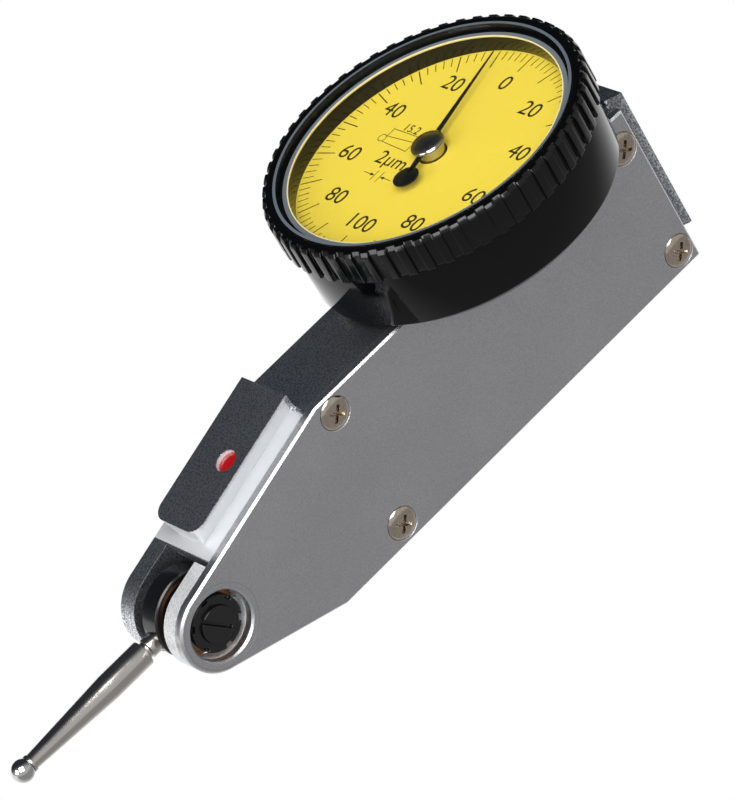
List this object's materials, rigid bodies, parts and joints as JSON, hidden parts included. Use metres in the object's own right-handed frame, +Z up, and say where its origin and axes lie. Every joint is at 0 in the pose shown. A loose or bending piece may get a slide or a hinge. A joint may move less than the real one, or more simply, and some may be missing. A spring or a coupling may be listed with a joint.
{
  "type": "dial test indicator",
  "caption": "Lever-type dial test indicator with a swivelling ball stylus, a ribbed turning bezel and dovetail mounts.",
  "frame": {"origin": "middle of the rear dovetail's crest face, where a holder clamps the indicator", "axes": "+X from the stylus back along the body, out of the rear dovetail's crest; +Y away from the screwed side plate; +Z up, out of the dial"},
  "size_m": [0.0749, 0.029, 0.0256],
  "materials": {
    "blasted_chrome": "fine bead-blasted satin chrome",
    "satin_chrome": "lapped satin",
    "nickel_screw": "warm nickel, fine turned",
    "hardened_steel": "ground",
    "red_enamel": "glossy enamel",
    "blackened_steel": "blackened, polished",
    "bronze": "turned bronze",
    "polished_steel": "mirror polished",
    "polished_carbide": "mirror polished",
    "movement_brass": "satin",
    "blued_spring": "blued",
    "gloss_black": "deep gloss black",
    "bezel_black": "satin black",
    "crystal": "clear, polished",
    "dial_yellow": "matte printed",
    "pointer_black": "satin black",
    "hub_black": "polished black"
  },
  "bodies": {
    "housing": {"body_frame": "blasted_chrome", "side_plate": "satin_chrome", "plate_screws": "nickel_screw", "nose_cheek": "blasted_chrome", "cheek_pins": "hardened_steel", "index_dot": "red_enamel", "near_pivot_screw": "blackened_steel", "pivot_locknut": "blackened_steel", "far_pivot_screw": "blackened_steel", "movement_bridge": "movement_brass", "bridge_screws": "hardened_steel", "lower_cock": "movement_brass", "dial_case": "gloss_black", "case_screws": "hardened_steel", "upper_bush": "movement_brass", "hairspring": "blued_spring", "spring_stud": "movement_brass", "slip_ring": "hardened_steel"},
    "lever": {"pivot_spindle": "hardened_steel", "lever_arm": "hardened_steel", "lever_pin": "hardened_steel", "clutch_washer": "bronze"},
    "stylus": {"swivel_drum": "blackened_steel", "stylus_shank": "polished_steel", "contact_ball": "polished_carbide"},
    "sector": {"sector_gear": "movement_brass", "sector_arbor": "hardened_steel"},
    "crown": {"crown_wheel": "movement_brass", "crown_arbor": "hardened_steel"},
    "indicator": {"centre_arbor": "hardened_steel", "centre_pinion": "hardened_steel", "spring_collet": "movement_brass", "pointer": "pointer_black", "pointer_hub": "hub_black"},
    "bezel_ring": {"bezel": "bezel_black", "crystal": "crystal", "dial_plate": "dial_yellow"}
  },
  "joints": [
    {"name": "pointer_spin", "type": "hinge", "parent": "housing", "child": "indicator", "pos_m": [-0.0161, 0, 0.00685], "axis": [0, 0, 1], "range_deg": [-216, 216], "stiffness_Nm_per_rad": 0.000002},
    {"name": "lever_pivot", "type": "hinge", "parent": "housing", "child": "lever", "pos_m": [-0.0549, 0, -0.00215], "axis": [0, 1, 0], "range_deg": [-0.362, 0.362]},
    {"name": "sector_pivot", "type": "hinge", "parent": "housing", "child": "sector", "pos_m": [-0.02402, 0, -0.00065], "axis": [0, 1, 0], "range_deg": [-3.61, 3.61]},
    {"name": "crown_spin", "type": "hinge", "parent": "housing", "child": "crown", "pos_m": [-0.0161, 0, -0.00065], "axis": [0, 1, 0], "range_deg": [-36.1, 36.1]},
    {"name": "stylus_swivel", "type": "hinge", "parent": "lever", "child": "stylus", "pos_m": [-0.0549, 0, -0.00215], "axis": [0, 1, 0], "range_deg": [-100, 100]},
    {"name": "bezel_turn", "type": "hinge", "parent": "housing", "child": "bezel_ring", "pos_m": [-0.0161, 0, 0.00685], "axis": [0, 0, 1], "continuous": true}
  ],
  "couplings": [
    {"joint": "lever_pivot", "follows": "pointer_spin", "ratio": 0.001675},
    {"joint": "sector_pivot", "follows": "pointer_spin", "ratio": -0.016667},
    {"joint": "crown_spin", "follows": "pointer_spin", "ratio": 0.16667}
  ]
}
